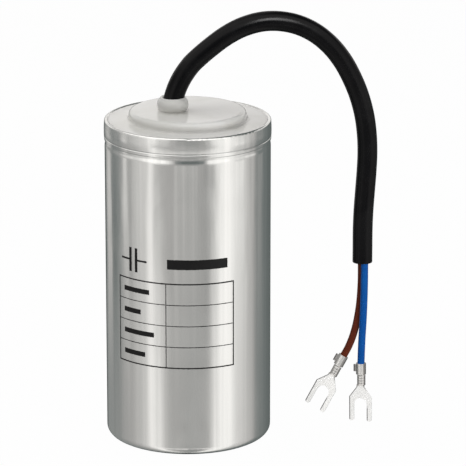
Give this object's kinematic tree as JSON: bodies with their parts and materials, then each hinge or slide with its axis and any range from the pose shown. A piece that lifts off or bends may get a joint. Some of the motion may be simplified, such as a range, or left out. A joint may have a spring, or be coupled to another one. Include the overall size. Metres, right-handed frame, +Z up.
{
  "type": "motor start capacitor",
  "caption": "Cylindrical motor start capacitor in a beaded aluminium can, closed by a moulded cover, with a sheathed cable whose cores end in crimped fork terminals.",
  "frame": {"origin": "middle of the can's base", "axes": "+Z up along the can, +X towards the side the cable hangs on, -Y towards the front"},
  "size_m": [0.0818, 0.05, 0.1298],
  "materials": {
    "can": "drawn satin aluminium",
    "cover": "milky moulded plastic",
    "sheath": "soft PVC with a dull gloss",
    "brown_insulation": "soft PVC",
    "blue_insulation": "soft PVC",
    "copper": "bare stranded copper",
    "tinned": "bright tin plate"
  },
  "bodies": {
    "root": {"can": "can", "top_cover": "cover", "cable_sheath": "sheath", "brown_core": "brown_insulation", "blue_core": "blue_insulation", "brown_conductor": "copper", "blue_conductor": "copper", "brown_terminal": "tinned", "blue_terminal": "tinned"}
  },
  "joints": []
}
